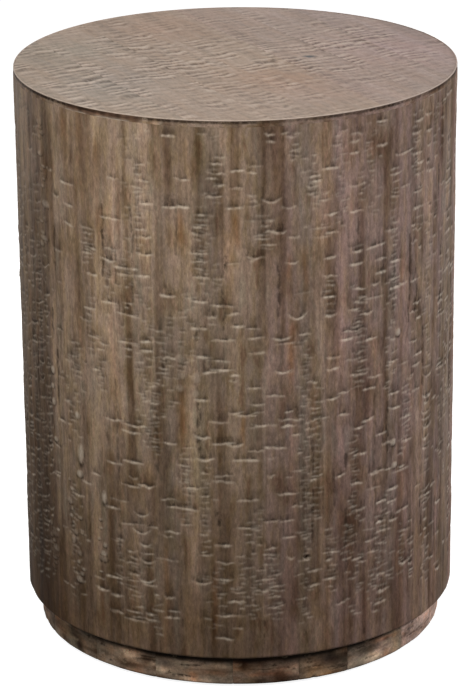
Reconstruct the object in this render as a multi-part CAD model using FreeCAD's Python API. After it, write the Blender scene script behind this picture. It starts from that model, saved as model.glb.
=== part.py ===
import FreeCAD, Part
import os
from math import cos, radians, sin, sqrt

from FreeCAD import Vector

# A drum side table: a hollow wall of bevelled upright staves, glued round plywood formers, with a thin
# board top and a set-back plinth ring of short blocks on nail-on glides.
# Lengths are in millimetres and angles in degrees. The origin is on the floor at the drum's axis,
# +Z is up and the front faces -Y. Angles round the drum count from the front, positive to the right.

# Overall
table_height = 508.0
drum_diameter = 381.0
glue_line = 0.1
seam_arris = 0.8

# Wall of staves: their widths are shares of the girth, to the right from the first joint
stave_thickness = 16.0
stave_arris = 0.6
stave_foot_ease = 2.0
first_stave_angle = -56.0
stave_width_shares = (
    40, 40, 44, 50.5, 34.5, 49, 49.5, 51, 46, 38, 52, 44, 57,
    41, 48, 36, 53, 47, 42, 55, 39, 50, 46, 44, 58, 42.5,
)

# Top boards: their widths are shares of the diameter, square to the grain
top_thickness = 6.0
top_rim_ease = 1.2
grain_angle = -62.0
board_width_shares = (68.5, 61, 49, 49, 46, 49, 58.5)

# Plywood formers inside the wall: the hoops' heights are shares of the clear height between the discs
former_thickness = 18.0
hoop_width = 32.0
lower_hoop_share = 0.32
upper_hoop_share = 0.68

# Plinth ring: the blocks' widths are shares of the girth, to the right from the first joint
plinth_height = 29.0
plinth_recess = 11.5
plinth_depth = 40.0
plinth_edge_ease = 1.2
block_arris = 0.5
first_block_angle = -24.3
block_width_shares = (
    22.1, 18.5, 14.8, 21, 18.6, 22.4, 19.5, 17.2, 23,
    20.4, 18.8, 21.6, 19.2, 22.2, 20, 17.6, 22.8, 20.3,
)

# Countersunk wood screws
screw_diameter = 4.0
screw_head_diameter = 8.0
screw_head_height = 3.0
screw_tip_length = 3.5
screw_clearance = 0.1
top_screw_bite = 4.0
top_screw_place_share = 0.55
plinth_screw_bite = 13.0
counterbore_diameter = 11.0
counterbore_depth = 9.0

# Nylon glides, each moulded round the head of its nail, under one plinth block in three
glide_height = 3.0
glide_diameter = 20.0
glide_edge_ease = 1.0
glide_sole = 1.0
glide_block_step = 3
nail_diameter = 2.4
nail_head_diameter = 9.0
nail_head_height = 0.8
nail_tip_length = 3.0
nail_grip = 15.0
nail_clearance = 0.05

# Overrun of a cutting shape past what it cuts
overrun = 1.0

# Levels and radii that follow from these sizes
drum_radius = drum_diameter / 2
plinth_top = glide_height + plinth_height
wall_top = table_height - top_thickness
wall_inner = drum_radius - stave_thickness
former_seat = wall_inner - glue_line
base_board_top = plinth_top + former_thickness
top_disc_bottom = wall_top - former_thickness
plinth_radius = drum_radius - plinth_recess
plinth_inner = plinth_radius - plinth_depth
fixing_radius = (plinth_inner + former_seat) / 2

UP = Vector(0, 0, 1)


def joints(first, shares):
    """Angles of the joints round a ring, from the first to the same one a full turn later."""
    angles = [first]
    for share in shares:
        angles.append(angles[-1] + 360 * share / sum(shares))
    return angles


def round_drum(radius, angle, z):
    """Point at a radius and an angle round the drum."""
    return Vector(radius * sin(radians(angle)), -radius * cos(radians(angle)), z)


def lathe(points):
    """Solid turned about the drum's axis from a closed outline of straight lines in the XZ plane."""
    outline = Part.makePolygon(points + points[:1])
    return Part.Face(outline).revolve(Vector(), UP, 360)


def turned_disc(radius, bottom, top, lower_ease, upper_ease):
    """Solid disc turned about the drum's axis, with its two outer edges eased."""
    return lathe([
        Vector(0, 0, bottom),
        Vector(radius - lower_ease, 0, bottom),
        Vector(radius, 0, bottom + lower_ease),
        Vector(radius, 0, top - upper_ease),
        Vector(radius - upper_ease, 0, top),
        Vector(0, 0, top),
    ])


def wedge(left, right, radius, inner_flat, arris, bottom, top):
    """Upright wedge between two radial joints: flat inside, eased at the joints, rough past the radius."""
    half = radians(right - left) / 2
    outward = Vector(cos(half), sin(half))
    inward = Vector(sin(half), -cos(half))
    joint_face = inward * (glue_line / 2)
    inner_end = (inner_flat - joint_face.x) / cos(half)
    reach = arris + radius * (1 - cos(half)) + overrun
    side = [
        outward * inner_end + joint_face,
        outward * (radius - arris) + joint_face,
        outward * (radius - arris + reach) + inward * reach + joint_face,
    ]
    other_side = [Vector(p.x, -p.y) for p in reversed(side)]
    solid = Part.Face(Part.makePolygon(side + other_side + side[:1])).extrude(UP * (top - bottom))
    solid.translate(UP * bottom)
    solid.rotate(Vector(), UP, (left + right) / 2 - 90)
    return solid


def former(bottom):
    """Plywood disc with one flat for each stave to be glued to."""
    middles = [(left + right) / 2 for left, right in zip(stave_joints, stave_joints[1:])]
    corners = []
    for here, after in zip(middles, middles[1:] + [middles[0] + 360]):
        corner_radius = former_seat / cos(radians(after - here) / 2)
        corners.append(round_drum(corner_radius, (here + after) / 2, bottom))
    return Part.Face(Part.makePolygon(corners + corners[:1])).extrude(UP * former_thickness)


def screw(length, grow=0.0):
    """Countersunk screw that points up from its head's face at the origin, or the hole for it."""
    head = screw_head_diameter / 2 + grow
    shank = screw_diameter / 2 + grow
    return lathe([
        Vector(),
        Vector(head, 0, 0),
        Vector(shank, 0, screw_head_height),
        Vector(shank, 0, length - screw_tip_length),
        Vector(0, 0, length + grow),
    ])


def nail(grow=0.0):
    """Glide's nail, standing on its head, or the hole for it."""
    head = nail_head_diameter / 2 + grow
    shank = nail_diameter / 2 + grow
    head_top = glide_sole + nail_head_height + grow
    point = glide_height + nail_grip
    return lathe([
        Vector(0, 0, glide_sole - grow),
        Vector(head, 0, glide_sole - grow),
        Vector(head, 0, head_top),
        Vector(shank, 0, head_top),
        Vector(shank, 0, point - nail_tip_length),
        Vector(0, 0, point + grow),
    ])


def glide():
    """Nylon foot with eased edges and room for its nail."""
    foot = turned_disc(glide_diameter / 2, 0, glide_height, glide_edge_ease, glide_edge_ease / 2)
    return foot.cut(nail(nail_clearance))


def moved(shape, place):
    """Copy of a shape at a place."""
    copy = shape.copy()
    copy.translate(place)
    return copy


def save(node, shape):
    """Writes one sub-part."""
    shape.removeSplitter().exportStep(os.path.join("parts", node + ".step"))


os.makedirs("parts", exist_ok=True)

# Staves
stave_joints = joints(first_stave_angle, stave_width_shares)
drum = turned_disc(drum_radius, plinth_top, wall_top, stave_foot_ease, seam_arris)
for number, (left, right) in enumerate(zip(stave_joints, stave_joints[1:]), 1):
    rough = wedge(left, right, drum_radius, wall_inner, stave_arris, plinth_top, wall_top)
    save(f"stave_{number:02d}", rough.common(drum))

# Top boards and the screws that hold them from inside
disc = turned_disc(drum_radius, wall_top, table_height, seam_arris, top_rim_ease)
top_disc = former(top_disc_bottom)
top_screw_length = former_thickness + top_screw_bite
top_screws = []
grain = Vector(cos(radians(grain_angle)), sin(radians(grain_angle)))
across = Vector(-grain.y, grain.x)
edge = -drum_radius
for number, share in enumerate(board_width_shares, 1):
    width = drum_diameter * share / sum(board_width_shares)
    board = Part.makeBox(drum_diameter, width - glue_line, top_thickness)
    board.translate(Vector(-drum_radius, edge + glue_line / 2, wall_top))
    board.rotate(Vector(), UP, grain_angle)
    board = board.common(disc)
    middle = edge + width / 2
    half_length = sqrt(former_seat ** 2 - middle ** 2)
    for end in (-1, 1):
        place = across * middle + grain * (end * top_screw_place_share * half_length) + UP * top_disc_bottom
        hole = moved(screw(top_screw_length, screw_clearance), place)
        board = board.cut(hole)
        top_disc = top_disc.cut(hole)
        top_screws.append(moved(screw(top_screw_length), place))
    save(f"top_board_{number}", board)
    edge += width
save("top_disc", top_disc)
save("top_screws", Part.makeCompound(top_screws))

# Hoops between the two discs
for node, share in (("lower_hoop", lower_hoop_share), ("upper_hoop", upper_hoop_share)):
    bottom = base_board_top + share * (top_disc_bottom - base_board_top) - former_thickness / 2
    bore = Part.makeCylinder(former_seat - hoop_width, former_thickness, UP * bottom)
    save(node, former(bottom).cut(bore))

# Plinth blocks, each with a screw up into the base board or a glide nailed on
ring = turned_disc(plinth_radius, glide_height, plinth_top, plinth_edge_ease, plinth_edge_ease)
base_board = former(plinth_top)
screw_head_level = glide_height + counterbore_depth
plinth_screw_length = plinth_top - screw_head_level + plinth_screw_bite
plinth_screws = []
glides = []
nails = []
block_joints = joints(first_block_angle, block_width_shares)
for number, (left, right) in enumerate(zip(block_joints, block_joints[1:]), 1):
    rough = wedge(left, right, plinth_radius, plinth_inner, block_arris, glide_height, plinth_top)
    block = rough.common(ring)
    middle = (left + right) / 2
    if number % glide_block_step == 1:
        place = round_drum(fixing_radius, middle, 0)
        block = block.cut(moved(nail(nail_clearance), place))
        glides.append(moved(glide(), place))
        nails.append(moved(nail(), place))
    else:
        place = round_drum(fixing_radius, middle, screw_head_level)
        hole = moved(screw(plinth_screw_length, screw_clearance), place)
        bore_foot = place - UP * (counterbore_depth + overrun)
        counterbore = Part.makeCylinder(counterbore_diameter / 2, counterbore_depth + overrun, bore_foot)
        block = block.cut([hole, counterbore])
        base_board = base_board.cut(hole)
        plinth_screws.append(moved(screw(plinth_screw_length), place))
    save(f"plinth_block_{number:02d}", block)
save("base_board", base_board)
save("plinth_screws", Part.makeCompound(plinth_screws))
save("glides", Part.makeCompound(glides))
save("glide_nails", Part.makeCompound(nails))
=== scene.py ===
import math
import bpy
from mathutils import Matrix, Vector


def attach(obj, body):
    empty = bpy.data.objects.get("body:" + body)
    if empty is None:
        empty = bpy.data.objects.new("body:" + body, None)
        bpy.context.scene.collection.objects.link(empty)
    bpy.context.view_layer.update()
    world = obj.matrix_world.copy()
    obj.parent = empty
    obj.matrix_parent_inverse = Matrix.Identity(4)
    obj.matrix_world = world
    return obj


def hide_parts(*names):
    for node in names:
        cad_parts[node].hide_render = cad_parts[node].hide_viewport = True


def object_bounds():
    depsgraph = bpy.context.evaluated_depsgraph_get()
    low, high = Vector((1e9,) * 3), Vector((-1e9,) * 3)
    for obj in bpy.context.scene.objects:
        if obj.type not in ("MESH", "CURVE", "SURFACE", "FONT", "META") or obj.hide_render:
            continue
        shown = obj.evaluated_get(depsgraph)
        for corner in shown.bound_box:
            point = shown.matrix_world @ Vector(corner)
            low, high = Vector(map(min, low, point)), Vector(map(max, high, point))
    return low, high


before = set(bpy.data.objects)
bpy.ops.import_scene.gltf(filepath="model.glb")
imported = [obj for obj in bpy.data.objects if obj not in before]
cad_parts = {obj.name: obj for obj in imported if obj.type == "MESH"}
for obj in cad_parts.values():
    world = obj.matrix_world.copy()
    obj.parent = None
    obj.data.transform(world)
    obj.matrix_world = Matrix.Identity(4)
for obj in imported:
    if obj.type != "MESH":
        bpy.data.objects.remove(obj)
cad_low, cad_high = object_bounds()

from types import SimpleNamespace

import bmesh
import bpy
import numpy as np
from mathutils import Matrix, Vector
from mathutils.geometry import tessellate_polygon

# The drum side table's looks: hewn staves, a sawn board top and a rough plinth ring.
# Lengths are in metres, and levels are heights over the floor. The front faces -Y.
# Places round the drum are given in degrees from the front, positive to the right.

# Camera
CAMERA_PLACE = (0.0, -2.66894, 1.20899)
CAMERA_YAW = math.radians(-0.0448)
CAMERA_PITCH = math.radians(19.7795)
CAMERA_ROLL = math.radians(-0.5476)
CAMERA_LENS = 167.73
CAMERA_SENSOR = 36.0

# Lamps: place, aim, size, power and colour
LAMPS = {
    "key": ((-0.23, -0.87, 0.92), (0, 0, 0.3), 0.5, 7.2, (1.0, 0.97, 0.93)),
    "left": ((-0.58, -0.16, 0.92), (0, 0, 0.3), 0.4, 0.5, (1.0, 0.95, 0.88)),
    "right": ((2.0, 0.0, 1.05), (0, 0, 0.3), 0.8, 27.5, (0.98, 0.97, 1.0)),
    "back": ((-0.2, 1.3, 1.5), (0, 0, 0.3), 0.9, 15, (1.0, 0.98, 0.96)),
    "rear": ((-0.9, 0.9, 0.28), (0, 0, 0.27), 0.4, 4, (1.0, 0.97, 0.93)),
}
AMBIENT = 0.11
FLOOR_HALF = 6.0
FLOOR_GREY = 0.10
FLOOR_SHADOW_GREY = 0.45
FLOOR_GLOW_REACH = (1.2, 4.0)
FLOOR_GLOW = (0.9, 1.0)

# Meshes
ACROSS_STEP = 0.0012
ALONG_STEP = 0.0008
ROW_STEP = 0.002
BORE_SIDES = 32
BORE_SHADE = 0.3
BORE_LEAST = 0.001
BORE_HEAD_ROOM = 0.0001
WELD_REACH = 1e-6
SHARP_ANGLE = math.radians(50)
GLUE_LINE = 0.0001

# Columns of marks down the wall, in stretches of one manner and pace
COLUMN_WIDTH = (0.009, 0.022)
STRETCH_LENGTH = (0.04, 0.14)
STRETCH_FADE = 0.02
PLAIN_HEAD = 0.002
PLAIN_FOOT = 0.040
WALL_MANNERS = {"strokes": 0.78, "ticks": 0.22}
WALL_PACES = (0.5, 0.7, 0.9, 1.2, 1.9)
BOLD_MANNERS = {"strokes": 0.95, "ticks": 0.05}
BOLD_PACES = (0.6, 0.9, 1.2)
BOLD_COLUMNS = (82, 112, 140, 172, -100, -125, -152)
MOTTLED_MANNERS = {"strokes": 0.60, "ticks": 0.34, "bumps": 0.06}
MOTTLED_PACES = (0.4, 0.6)
MOTTLED_SIDE = (-92, -58)
MOTTLED_FADE = 0.12
# Painted shade down the mottled side, darkest at its foot, as a tint
MOTTLED_SIDE_SHADE = (0.40, 0.35, 0.28)
MOTTLED_LEVEL = 0.42
MOTTLED_TILT = 0.24
MOTTLED_WIDENING = 1.5
MOTTLED_FORCE = 1.6
MOTTLED_LIPS = 0.45
MARKED_SHARES = (0.06, 0.45, 0.7, 0.95)
STEADY_SHARE = 0.9
WORN_LEVEL = 0.36
WORN_FADE = 0.1
SIDE_GROOVE_ROOM = (0.05, 0.01)
SIDE_GROOVE_LENGTH = (0.015, 0.08)
SIDE_GROOVE_HALF = (0.0008, 0.0022)
SIDE_GROOVE_DEPTH = (0.0003, 0.0008)

# Single marks
STROKE_LENGTH = 0.0092
STROKE_SPREAD = 0.5
STROKE_LIMITS = (0.0032, 0.036)
STROKE_DEPTH = (0.0002, 0.0010)
STROKE_STRAY = 0.001
STROKE_SAGS = (0.0, 0.0003, 0.0006, 0.0022)
STROKE_JAGS = (0.0001, 0.0003, 0.0007)
LIP_RISE = 0.0016
SHADE_REACH = (0.0010, 0.0035)
TICK_SPACING = (0.0022, 0.0048)
TICK_HALF = (0.002, 0.0055)
TICK_DEPTH = (0.00012, 0.0004)
TICK_SAG = 0.0003
TICK_JAG = 0.0003
RUNG_SPACING = (0.0028, 0.0066)
RUNG_JAG = 0.0004
BUMP_RADIUS = (0.0014, 0.0028)
BUMP_RISE = (0.0002, 0.0006)
LOOP_HALF = (0.006, 0.010)
LOOP_STRAY = 0.0015
GROOVE_ROOM = 0.001
GROOVE_BEND = (0.05, 0.0004)
GROOVE_SWELL = (0.02, 0.15)
THINNEST = 1e-6

# Staves
STAVE_EASE = (0.0001, 0.0003)
STAVE_FOOT_EASE = 0.002
STAVE_PROUD = 0.0003
STAVE_JOINT_SHADE = 0.2
FIBRE_RISE = 0.00004
FIBRE_ROWS = 12
SWELL_RISE = 0.00022
SWELL_LENGTHS = (0.05, 0.2)

# Runs of marks round the wall: place, lowest and highest level, and the radius of beads
BEAD_RUNS = (
    (-46, 0.078, 0.140, 0.0030),
    (-38.7, 0.092, 0.145, 0.0028),
    (-49, 0.112, 0.172, 0.0024),
    (70, 0.150, 0.300, 0.0024),
    (150, 0.100, 0.240, 0.0032),
    (-130, 0.120, 0.300, 0.0030),
)
LOOP_RUNS = ((-25, 0.100, 0.162), (58, 0.200, 0.260), (128, 0.090, 0.180), (-165, 0.100, 0.200))

# Round marks on the wall: place and level
WORM_HOLE = (17.4, 0.122)
WORM_HOLE_RADIUS = 0.0027
WORM_HOLE_DEPTH = 0.003
PALE_KNOTS = (
    (-14.6, 0.303), (-14.4, 0.288), (-14.8, 0.277), (-10.5, 0.287), (-10.5, 0.273),
    (97, 0.310), (160, 0.360), (-140, 0.220),
)
PALE_KNOT_RADIUS = 0.0042
PALE_KNOT_RISE = 0.0002

# Marks that stand out on the shown side, where fewer of the other strokes are made
SHOWN_SIDE = (-57, 57)
SHOWN_SHARE = 0.4
SHOWN_LENGTH = (0.006, 0.013)
SHOWN_SAGS = (0.0, 0.0004, 0.0012)
SHOWN_JAGS = (0.0001, 0.0003, 0.0006)
HOLLOW_LENGTH = 0.012
SHOWN_BEAD_RISE = 0.15
CHECK_DEPTH = (0.0004, 0.0006)
# Strokes: place and half width in degrees, and levels
SHOWN_COLUMNS = (
    (-47, 2.4, (0.439, 0.420, 0.162)),
    (-40, 2.2, (0.388, 0.383, 0.366, 0.335, 0.186)),
    (-34, 2.6, (0.382, 0.344, 0.202, 0.160, 0.095, 0.080, 0.064)),
    (-28.2, 3.6, (0.377, 0.372, 0.336, 0.312, 0.239, 0.233, 0.206, 0.184, 0.149, 0.060)),
    (-23.5, 2.1, (0.454, 0.435, 0.407, 0.392, 0.372, 0.315, 0.307, 0.149, 0.124, 0.096, 0.069, 0.064)),
    (-17, 2.2, (0.494, 0.434, 0.358, 0.303, 0.228, 0.170, 0.147, 0.074, 0.068)),
    (-13.5, 1.8, (0.459, 0.435, 0.194, 0.170)),
    (-9, 2.3, (0.429, 0.418, 0.413, 0.396, 0.389, 0.375, 0.355, 0.331, 0.306, 0.269, 0.236, 0.216, 0.129)),
    (-4, 3.0, (0.351, 0.321, 0.303, 0.295, 0.249, 0.230, 0.201, 0.196, 0.138, 0.123, 0.108, 0.074, 0.052)),
    (0, 2.2, (0.466, 0.452, 0.435, 0.333, 0.096, 0.086)),
    (2.5, 3.4, (0.255, 0.215, 0.179, 0.154)),
    (4.5, 2.2, (0.392, 0.331, 0.323, 0.310, 0.265, 0.096)),
    (10, 2.2, (0.414, 0.271, 0.226, 0.099, 0.081)),
    (14.5, 1.7, (0.494, 0.481, 0.409, 0.387, 0.236, 0.203, 0.171)),
    (19.5, 1.8, (0.458, 0.454, 0.450, 0.247, 0.194, 0.110, 0.097)),
    (24, 2.3, (0.463, 0.425, 0.408, 0.387, 0.371, 0.353, 0.338, 0.300, 0.290, 0.264, 0.124, 0.101)),
    (27.5, 2.1, (0.314, 0.267, 0.247, 0.193)),
    (31.5, 2.0, (
        0.489, 0.483, 0.423, 0.389, 0.356, 0.339, 0.320, 0.280, 0.233, 0.208, 0.182, 0.157, 0.113,
    )),
    (35, 2.2, (0.333, 0.309, 0.265, 0.238)),
    (39.5, 2.1, (
        0.495, 0.475, 0.377, 0.365, 0.221, 0.188, 0.159, 0.141, 0.132, 0.122, 0.092, 0.076, 0.066,
    )),
    (43.5, 2.2, (0.448, 0.400, 0.371, 0.357, 0.348, 0.284, 0.254, 0.242, 0.168, 0.156, 0.139)),
    (49, 2.8, (0.228, 0.207, 0.124, 0.094)),
    (52.5, 2.0, (0.487, 0.477, 0.458, 0.440, 0.426, 0.412, 0.392, 0.348, 0.328, 0.294, 0.272, 0.249)),
)
# Hollows: place, level, half width in degrees and sag
SHOWN_HOLLOWS = (
    (15, 0.343, 2.6, 0.0060), (11, 0.323, 2.7, 0.0030), (5.7, 0.248, 2.8, 0.0030),
    (-9.7, 0.105, 2.8, 0.0035), (11.3, 0.294, 2.4, 0.0030),
)
# Ladders of short strokes: place and half width in degrees, and lowest and highest level
SHOWN_LADDERS = (
    (-48.5, 2.0, 0.120, 0.170), (-46, 2.6, 0.268, 0.300), (-41, 2.4, 0.375, 0.405),
    (-40, 2.2, 0.290, 0.345), (-37, 2.0, 0.265, 0.312), (-32.5, 1.3, 0.090, 0.132),
    (-28, 2.6, 0.058, 0.118), (-25, 1.8, 0.395, 0.468), (-21.5, 1.8, 0.210, 0.280),
    (-22, 1.9, 0.048, 0.088), (-19, 2.0, 0.285, 0.316), (-13.5, 2.2, 0.155, 0.225),
    (-9, 2.0, 0.365, 0.425), (-8.5, 1.6, 0.130, 0.215), (-5, 2.4, 0.440, 0.478),
    (0.5, 1.2, 0.080, 0.128), (3.5, 1.2, 0.070, 0.102), (7, 2.2, 0.398, 0.428),
    (8.5, 2.2, 0.092, 0.126), (10, 1.8, 0.066, 0.095), (14, 1.7, 0.470, 0.496),
    (17, 1.4, 0.168, 0.206), (19.5, 1.7, 0.430, 0.476), (20, 1.7, 0.155, 0.280),
    (23.5, 2.0, 0.330, 0.372), (24, 2.0, 0.084, 0.146), (28.5, 2.2, 0.114, 0.146),
    (31, 2.0, 0.160, 0.226), (32.5, 2.4, 0.268, 0.348), (33, 1.4, 0.428, 0.456),
    (38.5, 1.8, 0.058, 0.146), (43.5, 1.7, 0.330, 0.452), (47, 1.6, 0.080, 0.132),
    (49, 2.2, 0.205, 0.262), (51.5, 1.9, 0.440, 0.482),
)
# Beads: place, level, radius and how drawn out they are
SHOWN_BEADS = (
    (-46, 0.234, 0.0034, 1.0), (-45, 0.200, 0.0034, 2.2), (-45.5, 0.181, 0.0038, 1.0),
    (-37, 0.167, 0.0026, 3.0), (43.6, 0.209, 0.0034, 1.0), (44, 0.188, 0.0034, 1.0),
    (45, 0.307, 0.0032, 1.1), (-55.5, 0.203, 0.0032, 1.0), (-56, 0.266, 0.0030, 1.0),
    (-56.5, 0.251, 0.0030, 1.0), (-56, 0.237, 0.0030, 1.0),
)
# Checks, two of them at the back: place, lowest and highest level, and half width
CHECKS = (
    (-3, 0.377, 0.394, 0.0022), (-3.5, 0.328, 0.368, 0.0016), (-10, 0.319, 0.335, 0.0026),
    (-10, 0.220, 0.266, 0.0026), (-35.7, 0.365, 0.410, 0.0028), (-32, 0.361, 0.394, 0.0012),
    (-32.4, 0.064, 0.279, 0.0014), (-5.3, 0.154, 0.168, 0.0026), (31.8, 0.390, 0.422, 0.0014),
    (37.2, 0.094, 0.279, 0.0009), (41.5, 0.199, 0.249, 0.0024), (-57.5, 0.219, 0.274, 0.0026),
    (-55.5, 0.294, 0.323, 0.0030), (128, 0.204, 0.294, 0.0018), (-160, 0.104, 0.204, 0.0016),
)

# Stains on the wall
STREAKS_PER_AREA = 1200
STREAK_WIDTH = (0.0014, 0.0048)
STREAK_LENGTH = 0.025
STREAK_SPREAD = 0.6
STREAK_BEND = (0.06, 0.0005)
STREAK_TINTS = (
    (0.62, 0.54, 0.48), (0.70, 0.64, 0.59), (0.76, 0.75, 0.69), (1.18, 1.16, 1.13), (1.14, 1.08, 1.05),
    (1.00, 0.92, 0.85), (0.97, 0.97, 0.88), (0.92, 0.96, 0.98),
)
# Rusty streaks: place, lowest and highest level, and half width
RUST_STREAKS = (
    (-14.2, 0.225, 0.275, 0.0030), (-19, 0.045, 0.140, 0.0026), (-6.5, 0.045, 0.120, 0.0024),
    (17, 0.345, 0.400, 0.0030), (13.5, 0.280, 0.335, 0.0030), (12.8, 0.370, 0.392, 0.0024),
    (1.2, 0.225, 0.262, 0.0020), (0, 0.400, 0.430, 0.0030), (-14, 0.400, 0.430, 0.0030),
    (100, 0.150, 0.250, 0.0030), (170, 0.250, 0.320, 0.0030), (-120, 0.300, 0.380, 0.0030),
)
RUST_TINT = (0.95, 0.74, 0.54)
RUST_STRENGTH = 0.8
# Broad stains: place and half width in degrees, lowest and highest level, and tint
BROAD_STAINS = (
    (-11, 7, 0.410, 0.520, (0.74, 0.74, 0.73)),
    (-5, 2.2, 0.370, 0.470, (0.78, 0.76, 0.80)),
    (-32, 7, 0.300, 0.440, (1.16, 1.16, 1.18)),
    (-32, 7, 0.170, 0.240, (0.90, 0.89, 0.88)),
    (-10, 2, 0.170, 0.270, (0.97, 1.03, 0.98)),
    (62, 7, 0.350, 0.500, (0.88, 0.88, 0.92)),
    (62, 7, 0.100, 0.200, (0.82, 0.83, 0.88)),
)
SMOOTH_TINT = (1.09, 1.07, 1.06)
ROUGH_TINT = (0.99, 1.0, 1.0)
# Painted shade towards the wall's foot, at the left and at the right, and how high it reaches
WALL_FOOT_SHADE_LEFT = (0.52, 0.45, 0.39)
WALL_FOOT_SHADE_RIGHT = (0.88, 0.83, 0.80)
WALL_FOOT_SHADE_REACH = 0.20
TONE_FADE = 0.0025

# Saw marks on the top, strongest in some zones: place, reach and share
BAND_WIDTH = (0.020, 0.031)
BAND_FORCES = (0.7, 0.9, 1.1, 1.3)
BAND_WANDER = (0.05, 0.0012)
SAW_PITCH = (0.0095, 0.0120)
SAW_BEAT = (0.05, 0.2)
SAW_SWELL = (0.06, 0.3)
SAW_UNREST = 0.13
SAW_UNREST_LENGTHS = (0.020, 0.022)
SAW_DEPTH = 0.00028
SAW_LEAST = 0.45
SAW_ZONES = (
    ((0.04, -0.01), 0.060, 1.0),
    ((0.10, 0.06), 0.045, 0.8),
    ((-0.06, 0.02), 0.070, 0.70),
    ((-0.12, -0.08), 0.065, 0.50),
)

# Stains on the top, place, reach and tint, and its knot
TOP_STAINS = (
    ((-0.10, -0.07), 0.045, (0.87, 0.94, 1.00)),
    ((-0.14, 0.04), 0.040, (0.90, 0.98, 1.00)),
    ((-0.06, 0.12), 0.050, (1.02, 0.94, 0.90)),
    ((0.03, -0.06), 0.040, (1.01, 0.92, 0.87)),
    ((0.08, -0.10), 0.050, (1.04, 0.99, 1.01)),
    ((0.14, 0.03), 0.060, (1.07, 1.01, 1.06)),
    ((0.00, 0.00), 0.080, (1.07, 1.06, 1.04)),
)
KNOT_PLACE = (0.064, 0.012)
KNOT_SIZE = (0.0058, 0.0036)
KNOT_DEPTH = 0.0003

# The top's rim, with drops below the top's face, and its edge, bare in places, with a painted shade line
# under the rim
RIM_EASE = 0.0009
RIM_LINE = 0.0024
RIM_SHADE = 0.0036
RIM_SHADE_DARKENING = 0.5
BARE_LINE = 0.0012
BARE_EDGES = ((-48, -23), (57, 68), (118, 149), (-141, -117))
BARE_FADE = 0.03
DARKEST_RIM_SHADE = -62
DARKEST_RIM_SHADE_REACH = 0.35

# Plinth blocks
BLOCK_EASE = 0.0010
BLOCK_SWELL_RISE = 0.0002
BLOCK_SWELL_LENGTHS = (0.04, 0.02)
BLOCK_STRETCH = (1, 1, 2.5)
BLOCK_JOINT_EASE = 0.0004
BLOCK_JOINT_SHADE = 0.35
DENTS = (4, 9)
DENT_RADIUS = (0.0012, 0.003)
DENT_DEPTH = (0.0003, 0.0007)
SPOTS = (14, 22)
CLEAN_SPOTS = 3
SPOT_WIDTH = (0.003, 0.014)
SPOT_HEIGHT = (0.0015, 0.006)
SCORES = (3, 7)
SCORE_LENGTH = (0.008, 0.03)
SCORE_HALF = (0.0006, 0.0012)
SCORE_DEPTH = (0.0003, 0.0006)
# Painted shadow under the drum's overhang at the blocks' head, and painted shade along their foot
BLOCK_HEAD_SHADOW = 0.9
BLOCK_HEAD_SHADOW_REACH = 0.0095
BLOCK_HEAD_SHADOW_FADE = 0.003
BLOCK_FOOT_SHADE = 0.55
BLOCK_FOOT_SHADE_REACH = 0.0022


def srgb(red, green, blue):
    """Linear colour from screen values of 0 to 255."""
    def linear(value):
        value /= 255
        return value / 12.92 if value <= 0.04045 else ((value + 0.055) / 1.055) ** 2.4
    return linear(red), linear(green), linear(blue)


# Tones of the wall, its staves in order
TAN = srgb(161, 143, 123)
GREY = srgb(131, 119, 108)
BROWN = srgb(126, 108, 97)
OLIVE = srgb(133, 117, 100)
MAUVE = srgb(139, 117, 112)
UMBER = srgb(100, 84, 70)
WALL_TONES = (TAN, GREY, BROWN, OLIVE, MAUVE, UMBER)
COMMON_TONE = srgb(129, 113, 102)
STAVE_TONES = (
    TAN, TAN, TAN, OLIVE, OLIVE, BROWN, MAUVE, MAUVE, MAUVE, GREY, MAUVE, BROWN, GREY,
    OLIVE, TAN, BROWN, UMBER, GREY, MAUVE, BROWN, OLIVE, GREY, TAN, BROWN, UMBER, UMBER,
)
STAVE_TONE_SHARE = 0.45
COLUMN_TONE_SHARE = 0.4

# Tones of the top, its boards in order
BOARD_TONES = (
    srgb(153, 139, 126), srgb(157, 141, 128), srgb(156, 140, 127), srgb(157, 141, 128),
    srgb(156, 140, 130), srgb(158, 142, 133), srgb(158, 142, 135),
)
BARE_EDGE_TONE = srgb(92, 73, 60)
KNOT_TONE = srgb(84, 88, 90)

# Tones of the plinth, its blocks in order, with few spots on the clean ones
FAWN = srgb(166, 148, 131)
PALE = srgb(180, 161, 143)
PINK = srgb(172, 147, 135)
DUSK = srgb(136, 117, 104)
ROSE = srgb(214, 185, 172)
BLOCK_TONES = (
    FAWN, DUSK, FAWN, FAWN, ROSE, ROSE, DUSK, FAWN, PALE,
    DUSK, FAWN, PINK, PALE, FAWN, DUSK, DUSK, FAWN, FAWN,
)
CLEAN_BLOCKS = (4, 5)
SPOT_TINTS = (
    (1.20, 0.92, 0.78), (0.26, 0.22, 0.19), (2.10, 2.00, 1.92), (0.40, 0.35, 0.32),
    (1.20, 1.12, 0.94), (1.70, 1.62, 1.60), (0.60, 0.60, 0.64), (1.50, 1.45, 1.42),
)


# Where the pieces stand

def node_points(node):
    """Corners of a CAD node's mesh."""
    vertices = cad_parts[node].data.vertices
    points = np.empty(3 * len(vertices))
    vertices.foreach_get("co", points)
    return points.reshape(-1, 3)


def ring_piece(node):
    """A ring piece's middle and half of the angle it fills, in radians, its radii and its levels."""
    x, y, z = node_points(node).T
    guess = math.atan2(x.mean(), -y.mean())
    ahead = x * math.sin(guess) - y * math.cos(guess)
    angles = np.arctan2(x * math.cos(guess) + y * math.sin(guess), ahead)
    middle = guess + (angles.min() + angles.max()) / 2
    return SimpleNamespace(
        middle=middle,
        half=np.ptp(angles) / 2,
        radius=np.hypot(x, y).max(),
        flat=(x * math.sin(middle) - y * math.cos(middle)).min(),
        bottom=z.min(),
        top=z.max(),
    )


def nodes_named(start):
    """CAD nodes of a kind, in order."""
    return sorted(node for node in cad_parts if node.startswith(start))


def steps(start, end, size):
    """Even places from start to end, about one size apart."""
    return np.linspace(start, end, max(2, round((end - start) / size) + 1))


# Carved faces: grids along the piece by across it, of depth and of painted shade, wear and tone

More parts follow.
